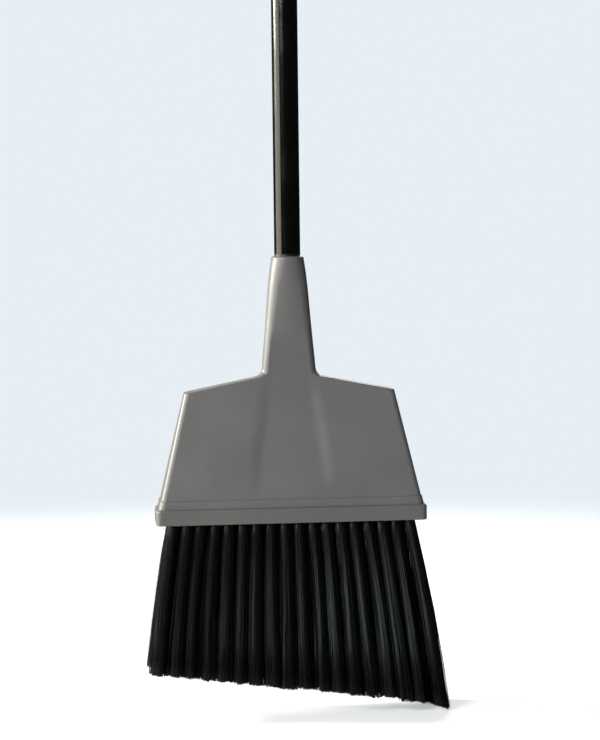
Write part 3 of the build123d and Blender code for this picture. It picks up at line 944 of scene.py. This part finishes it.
def trim(given, x):
    """Length of the bristles at a place along the head, with a hook at the long end."""
    past_start = (x - given["Hook Start"]).do("MAXIMUM", 0.0)
    hook = past_start / (given["Block Length"] * 0.5 - given["Hook Start"])
    return given["Trim Length"] + given["Trim Slope"].do("TANGENT") * x + given["Trim Hook"] * hook * hook


def tuft_points(wires, given):
    """One point for each tuft, on which the tuft's place and lean and its chance values are kept."""
    x, y, rim = wires.split(wires.made("GeometryNodeInputPosition", {}))
    index = wires.made("GeometryNodeInputIndex", {})
    luck = chance(wires, index, given["Seed"], -1.0, 1.0)
    bends = chance(wires, index, given["Seed"] + 3.0, -1.0, 1.0)
    lean_x = given["Fan Lean"] + given["Fan Sideways"] * x / given["Edge X"] + given["Tuft Lean"] * luck[0]
    lean_y = given["Fan Front Back"] * y / given["Edge Y"] + given["Tuft Lean"] * luck[1]
    reach = trim(given, x)
    return captured(wires, given["Geometry"], {
        "x": x,
        "y": y,
        "rim": rim,
        "drift_x": lean_x.do("TANGENT") * reach,
        "drift_y": lean_y.do("TANGENT") * reach,
        "cut": given["Tuft Ragged"] * luck[2] * 0.5,
        "turn": luck[0] * math.pi,
        "bend": given["Tuft Bend"] * bends[0],
    })


def filament_points(wires, given, points, tuft):
    """One point for each filament, spread evenly over its tuft's round section."""
    copies = wires.node("GeometryNodeDuplicateElements", domain="POINT")
    wires.feed(copies.inputs["Geometry"], points)
    wires.feed(copies.inputs["Amount"], given["Filaments per Tuft"])
    number = Field(wires, copies.outputs["Duplicate Index"])
    index = wires.made("GeometryNodeInputIndex", {})
    luck = chance(wires, index, given["Seed"] + 1.0, -1.0, 1.0)
    more = chance(wires, index, given["Seed"] + 2.0, 0.0, 1.0)
    radius = ((number + 0.5) / given["Filaments per Tuft"]).do("SQRT")
    turn = number * GOLDEN_TURN + tuft["turn"]
    across = radius * turn.do("COSINE")
    along = radius * turn.do("SINE")
    clump = wires.split(wires.made("ShaderNodeTexNoise", {
        "Vector": wires.joined(across, along, tuft["turn"] * CLUMP_PATCH),
        "Scale": given["Clump Scale"],
        "Detail": 1.0,
    }, "Color"))
    tip_x = tuft["x"] + tuft["drift_x"] + across * given["Tip Width"] * 0.5
    length = trim(given, tip_x) + tuft["cut"] - given["Ragged"] * more[0]
    return captured(wires, copies.outputs["Geometry"], {
        "across": across,
        "along": along,
        "bow_x": luck[0],
        "bow_y": luck[1],
        "stray": luck[2],
        "length": length.do("MINIMUM", tuft["rim"]),
        "roll": more[2] * FULL_TURN,
        "shade": more[1] * 0.5 + clump[2].ramp(0.3, 0.7) * 0.5,
        "clump_x": (clump[0] - 0.5) * CLUMP_GAIN,
        "clump_y": (clump[1] - 0.5) * CLUMP_GAIN,
    })


def bent_lines(wires, given, points, tuft, own):
    """One line for each filament, bent into place, and each point's share of the way to the tip."""
    line = wires.made("GeometryNodeCurvePrimitiveLine", {"End": (0.0, 0.0, -1.0)})
    line = wires.made("GeometryNodeResampleCurve", {"Curve": line, "Count": FILAMENT_POINTS})
    lines = wires.made("GeometryNodeInstanceOnPoints", {"Points": points, "Instance": line})
    lines = wires.made("GeometryNodeRealizeInstances", {"Geometry": lines})
    step = Field(wires, wires.made("GeometryNodeSplineParameter", {}, "Factor")).do("POWER", ROOT_CROWDING)
    drop = step * (own["length"] + given["Root Depth"]) - given["Root Depth"]
    below = drop.do("MAXIMUM", 0.0)
    share = below / own["length"]
    swollen = given["Swell"] * (1.0 - (below / given["Swell Length"] * -1.0).do("EXPONENT"))
    root = given["Tuft Diameter"] * 0.5

    def reach_out(tip):
        return root + swollen + (tip * 0.5 - root - given["Swell"]) * share
    arch = (share * math.pi).do("SINE")
    bow = given["Bow"] * arch
    stray = given["Wander"] * share * own["stray"]
    clump = given["Clump"] * share
    drift = share + given["Fan Curve"] * share * (1.0 - share)
    new_x = (tuft["x"] + tuft["drift_x"] * drift + tuft["bend"] * arch
             + own["across"] * reach_out(given["Tip Width"]) + own["bow_x"] * bow + stray
             + own["clump_x"] * clump)
    new_y = (tuft["y"] + tuft["drift_y"] * drift
             + own["along"] * reach_out(given["Tip Depth"]) + own["bow_y"] * bow + own["clump_y"] * clump)
    place = wires.joined(new_x, new_y, tuft["rim"] - drop)
    return wires.made("GeometryNodeSetPosition", {"Geometry": lines, "Position": place}), share


def strands(wires, given, lines, own, share):
    """A thin tapered tube on each line, with normals between the filament's own and the tuft's."""
    for label, value in (("along", share), ("shade", own["shade"])):
        lines = wires.made("GeometryNodeStoreNamedAttribute", {
            "Geometry": lines, "Name": label, "Value": value}, data_type="FLOAT", domain="POINT")
    taper = 1.0 - share * FILAMENT_TAPER
    lines = wires.made("GeometryNodeSetCurveRadius", {"Curve": lines, "Radius": taper})
    lines = wires.made("GeometryNodeSetCurveTilt", {"Curve": lines, "Tilt": own["roll"]})
    profile = wires.made("GeometryNodeCurvePrimitiveCircle", {
        "Resolution": FILAMENT_SIDES, "Radius": given["Filament Diameter"] * 0.5})
    mesh = wires.made("GeometryNodeCurveToMesh", {
        "Curve": lines, "Profile Curve": profile, "Fill Caps": True})
    mesh = wires.made("GeometryNodeSetShadeSmooth", {"Geometry": mesh})
    outward = wires.unit(wires.joined(own["across"], own["along"], 0.0))
    shared = wires.made("ShaderNodeVectorMath", {
        0: outward,
        1: wires.joined(given["Roundness"], given["Roundness"], 0.0),
        2: wires.made("GeometryNodeInputNormal", {}),
    }, operation="MULTIPLY_ADD")
    return wires.made("GeometryNodeSetMeshNormal", {
        "Mesh": mesh, "Custom Normal": wires.unit(shared)}, mode="FREE")


def filament_tree(settings):
    """Grows a fanned, trimmed tuft of filaments from every point of a row."""
    sizes = {**labelled(settings), "Edge X": 0.1, "Edge Y": 0.01, "Block Length": 0.2}
    wires, given, end = geometry_tree("Tuft Filaments", sizes)
    points, tuft = tuft_points(wires, given)
    points, own = filament_points(wires, given, points, tuft)
    lines, share = bent_lines(wires, given, points, tuft, own)
    return finished_tree(wires, given, end, strands(wires, given, lines, own, share))


def plate_tree():
    """A plate with a blind hole at every point of a row."""
    wires, given, end = geometry_tree("Drilled Plate", {
        "Length": 0.2, "Width": 0.01, "Thickness": 0.005, "Row Offset": 0.0, "Height": 0.0,
        "Hole Diameter": 0.009, "Hole Depth": 0.004})

    def raised(curves, height):
        """The walls and the end of a prism on closed curves, open at its foot."""
        flat = wires.made("GeometryNodeFillCurve", {"Curve": curves})
        upwards = wires.joined(0.0, 0.0, 1.0)
        return wires.made("GeometryNodeExtrudeMesh", {
            "Mesh": flat, "Offset": upwards, "Offset Scale": height, "Individual": False})

    def moved(geometry, y, z):
        return wires.made("GeometryNodeTransform", {
            "Geometry": geometry, "Translation": wires.joined(0.0, y, z)})

    def together(*geometries):
        node = wires.node("GeometryNodeJoinGeometry")
        for geometry in geometries:
            wires.feed(node.inputs[0], geometry)
        return node.outputs[0]
    outline = wires.made("GeometryNodeCurvePrimitiveQuadrilateral", {
        "Width": given["Length"], "Height": given["Width"]})
    outline = moved(outline, given["Row Offset"], 0.0)
    hole = wires.made("GeometryNodeCurvePrimitiveCircle", {
        "Resolution": HOLE_STEPS, "Radius": given["Hole Diameter"] * 0.5})
    holes = wires.made("GeometryNodeInstanceOnPoints", {"Points": given["Geometry"], "Instance": hole})
    holes = wires.made("GeometryNodeRealizeInstances", {"Geometry": holes})
    face = wires.made("GeometryNodeFillCurve", {"Curve": together(outline, holes)})
    face = wires.made("GeometryNodeFlipFaces", {"Mesh": face})
    cups = wires.made("GeometryNodeFlipFaces", {"Mesh": raised(holes, given["Hole Depth"])})
    solid = together(face, cups, raised(outline, given["Thickness"]))
    solid = wires.made("GeometryNodeMergeByDistance", {"Geometry": solid, "Distance": WELD})
    return finished_tree(wires, given, end, moved(solid, 0.0, given["Height"]))


def copies_tree():
    """One copy of an object's mesh at every point."""
    wires, given, end = geometry_tree("Seated Copies", {"Original": "NodeSocketObject"})
    original = wires.made("GeometryNodeObjectInfo", {"Object": given["Original"]}, "Geometry")
    copies = wires.made("GeometryNodeInstanceOnPoints", {
        "Points": given["Geometry"], "Instance": original})
    return finished_tree(wires, given, end, copies)


# Operators, one for each piece or group of like pieces

class BROOM_OT_handle(bpy.types.Operator):
    """Finish the handle's tube, its vinyl sleeve and its hang cap"""
    bl_idname = "broom.handle"
    bl_label = "Finish Handle"

    def execute(self, context):
        colours = context.scene.broom_finish
        dress("handle_sleeve", vinyl(colours))
        dress("hang_cap", cap_plastic(colours))
        dress("handle_tube", metal("drawn_steel", colours.steel, roughness=0.22, lines_scale=1500.0))
        return {"FINISHED"}


class BROOM_OT_head(bpy.types.Operator):
    """Finish the moulded shell and the tuft block"""
    bl_idname = "broom.head"
    bl_label = "Finish Head"

    def execute(self, context):
        colours = context.scene.broom_finish
        dress("head_shell", shell_plastic(colours))
        dress("tuft_block", block_plastic(colours))
        return {"FINISHED"}


class BROOM_OT_thread(bpy.types.Operator):
    """Cut the thread of the handle's tip and of the head's socket"""
    bl_idname = "broom.thread"
    bl_label = "Cut Threads"

    def execute(self, context):
        colours = context.scene.broom_finish
        sizes = context.scene.broom_thread
        tip = threaded_tip_mesh(sizes)
        tip.materials.append(nylon(colours))
        piece("screw_tip", tip, "handle", ["threaded_tip"])
        socket = socket_thread_mesh(sizes)
        socket.materials.append(bpy.data.materials.get("grey_shell") or shell_plastic(colours))
        piece("socket_thread", socket, "head", [])
        return {"FINISHED"}


class BROOM_OT_screws(bpy.types.Operator):
    """Seat the two screws that hold the block in the shell"""
    bl_idname = "broom.screws"
    bl_label = "Seat Screws"

    def execute(self, context):
        original = bpy.data.objects.new("screw", screw_mesh(context.scene.broom_screws))
        context.scene.collection.objects.link(original)
        reach = SCREW_HIGH.x - SCREW_HIGH.y
        seats = point_cloud("seats", [(side * reach, 0.0, SCREW_LOW.z) for side in (-1, 1)])
        zinc = metal("zinc_plate", context.scene.broom_finish.zinc, roughness=0.24, lines_scale=2400.0)
        mesh = grown("screws", seats, copies_tree(), {"Original": original, "Material": zinc})
        bpy.data.objects.remove(original)
        piece("screws", mesh, "head", ["block_screws"])
        return {"FINISHED"}


class BROOM_OT_plates(bpy.types.Operator):
    """Drill the underside that the tufts hang from, and finish the anchors"""
    bl_idname = "broom.plates"
    bl_label = "Drill Plates"

    def execute(self, context):
        colours = context.scene.broom_finish
        sizes = context.scene.broom_plate
        hole = context.scene.broom_bristles.tuft_diameter
        rows = tuft_rows()
        row_pitch = rows[1][0].y - rows[0][0].y
        tree = plate_tree()
        material = bpy.data.materials.get("grey_block") or block_plastic(colours)
        for name, row in zip(ROW_NAMES, rows):
            seed = point_cloud(name, [(place.x, place.y, 0.0) for place in row])
            mesh = grown(name, seed, tree, {
                "Length": row[-1].x - row[0].x + hole + 2 * sizes.end_margin,
                "Width": row_pitch - sizes.seam,
                "Thickness": ANCHOR_LOW.z - RIM,
                "Row Offset": row[0].y,
                "Height": RIM,
                "Hole Diameter": hole,
                "Hole Depth": sizes.hole_depth,
                "Material": material,
            })
            piece("tuft_plate_" + name, mesh, "head", ["bristle_row_" + name])
        dress("tuft_anchors", metal("flat_wire", colours.steel, roughness=0.3, lines_scale=1800.0))
        return {"FINISHED"}


class BROOM_OT_bristles(bpy.types.Operator):
    """Grow the three rows of tufts"""
    bl_idname = "broom.bristles"
    bl_label = "Grow Bristles"

    def execute(self, context):
        settings = context.scene.broom_bristles
        material = filament(context.scene.broom_finish)
        rows = tuft_rows()
        tree = filament_tree(settings)
        values = labelled(settings)
        for number, (name, row) in enumerate(zip(ROW_NAMES, rows)):
            mesh = grown(name, point_cloud(name, row), tree, {
                **values,
                "Seed": settings.seed + number * ROW_SEEDS,
                "Edge X": rows[0][-1].x,
                "Edge Y": rows[-1][0].y,
                "Block Length": BLOCK_LENGTH,
                "Material": material,
            })
            piece("bristles_" + name, mesh, "head", ["bristle_row_" + name])
        return {"FINISHED"}


# The stage

def softbox(name, power, place, target, size, colour, spread):
    """A rectangular studio light that faces a point."""
    data = bpy.data.lights.new(name, "AREA")
    data.shape = "RECTANGLE"
    data.size, data.size_y = size
    data.energy = power
    data.color = colour
    data.spread = spread
    light = bpy.data.objects.new(name, data)
    light.location = place
    light.rotation_euler = (Vector(target) - Vector(place)).to_track_quat("-Z", "Y").to_euler()
    light.visible_camera = False
    bpy.context.scene.collection.objects.link(light)


def floor_material(settings):
    """A pale matt floor that fades out far from the object and is seen through from below."""
    finish = Finish("pale_floor")
    x, y, _ = finish.wires.split(finish.place)
    radius = (x * x + y * y).do("SQRT")
    tone = finish.noise(3.0, 3.0)
    path = finish.wires.node("ShaderNodeLightPath")
    mirrored = path.outputs["Is Glossy Ray"]
    seen = Field(finish.wires, path.outputs["Is Camera Ray"])
    from_below = Field(finish.wires, finish.wires.made("ShaderNodeNewGeometry", {}, "Backfacing"))
    pale = finish.wires.mixed(tone, tint(settings.floor, 0.98), tint(settings.floor))
    faded = radius.ramp(settings.floor_solid, settings.floor_end)
    finish.set(
        base_color=finish.wires.mixed(mirrored, pale, tint(settings.floor, settings.reflected_room)),
        roughness=0.6 + tone * 0.1,
        emission_color=tint(settings.floor),
        emission_strength=seen * settings.floor_glow,
        alpha=(1.0 - faded) * (1.0 - from_below * seen),
    )
    return finish.material


def floor_disc(settings):
    """A round floor under the object."""
    work = bmesh.new()
    bmesh.ops.create_circle(work, cap_ends=True, radius=settings.floor_end, segments=RING_STEPS)
    mesh = bpy.data.meshes.new("floor")
    work.to_mesh(mesh)
    work.free()
    mesh.materials.append(floor_material(settings))
    floor = bpy.data.objects.new("floor", mesh)
    bpy.context.scene.collection.objects.link(floor)


def light_room(settings):
    """A pale backdrop to the camera that is a dim room to the object and a dark one in reflections."""
    world = bpy.data.worlds.new("studio")
    world.use_nodes = True
    world.node_tree.nodes.clear()
    wires = Wires(world.node_tree)
    backdrop = wires.made("ShaderNodeBackground", {"Color": tint(settings.backdrop)})
    room = wires.made("ShaderNodeBackground", {"Strength": settings.room})
    reflected = wires.made("ShaderNodeBackground", {"Strength": settings.reflected_room})
    path = wires.node("ShaderNodeLightPath")
    unseen = wires.made("ShaderNodeMixShader", {0: path.outputs["Is Glossy Ray"], 1: room, 2: reflected})
    shown = wires.made("ShaderNodeMixShader", {0: path.outputs["Is Camera Ray"], 1: unseen, 2: backdrop})
    end = wires.node("ShaderNodeOutputWorld")
    wires.feed(end.inputs["Surface"], shown)
    bpy.context.scene.world = world


def photo_camera(settings):
    """A camera where the photograph was taken from."""
    data = bpy.data.cameras.new("photo_camera")
    # The sensor's width lies along the picture's longer side, which is its height
    data.sensor_width = SENSOR_WIDTH
    data.lens = SENSOR_WIDTH * settings.distance / settings.view_height
    camera = bpy.data.objects.new("photo_camera", data)
    level = math.cos(settings.elevation)
    ahead = Vector((
        math.sin(settings.azimuth) * level,
        math.cos(settings.azimuth) * level,
        -math.sin(settings.elevation),
    ))
    turn = ahead.to_track_quat("-Z", "Y").to_matrix() @ Matrix.Rotation(-settings.roll, 3, "Z")
    camera.rotation_euler = turn.to_euler()
    camera.location = Vector(settings.aim) - ahead * settings.distance
    bpy.context.scene.collection.objects.link(camera)
    bpy.context.scene.camera = camera


class BROOM_OT_stage(bpy.types.Operator):
    """Set up the floor, the lights and the camera"""
    bl_idname = "broom.stage"
    bl_label = "Set Stage"

    def execute(self, context):
        settings = context.scene.broom_stage
        floor_disc(settings)
        for name, form in SOFTBOXES.items():
            softbox(name, getattr(settings, name + "_power"), *form)
        light_room(settings)
        photo_camera(settings)
        context.scene.view_settings.view_transform = "Standard"
        return {"FINISHED"}


class BROOM_PT_panel(bpy.types.Panel):
    """Lists the broom's operators and their settings"""
    bl_idname = "BROOM_PT_panel"
    bl_label = "Angle Broom"
    bl_space_type = "VIEW_3D"
    bl_region_type = "UI"
    bl_category = "Broom"

    def draw(self, context):
        for operator in OPERATORS:
            self.layout.operator(operator.bl_idname)
        for name, group in SETTINGS.items():
            box = self.layout.box()
            box.label(text=group.__doc__)
            settings = getattr(context.scene, name)
            for identifier in group.__annotations__:
                box.prop(settings, identifier)


OPERATORS = (
    BROOM_OT_handle,
    BROOM_OT_head,
    BROOM_OT_thread,
    BROOM_OT_screws,
    BROOM_OT_plates,
    BROOM_OT_bristles,
    BROOM_OT_stage,
)
CLASSES = (*SETTINGS.values(), *OPERATORS, BROOM_PT_panel)


def register():
    for made in CLASSES:
        bpy.utils.register_class(made)
    for name, group in SETTINGS.items():
        setattr(bpy.types.Scene, name, PointerProperty(type=group))


def unregister():
    for name in SETTINGS:
        delattr(bpy.types.Scene, name)
    for made in reversed(CLASSES):
        bpy.utils.unregister_class(made)


def main():
    register()
    for operator in OPERATORS:
        group, name = operator.bl_idname.split(".")
        getattr(getattr(bpy.ops, group), name)()


if __name__ == "__main__":
    main()
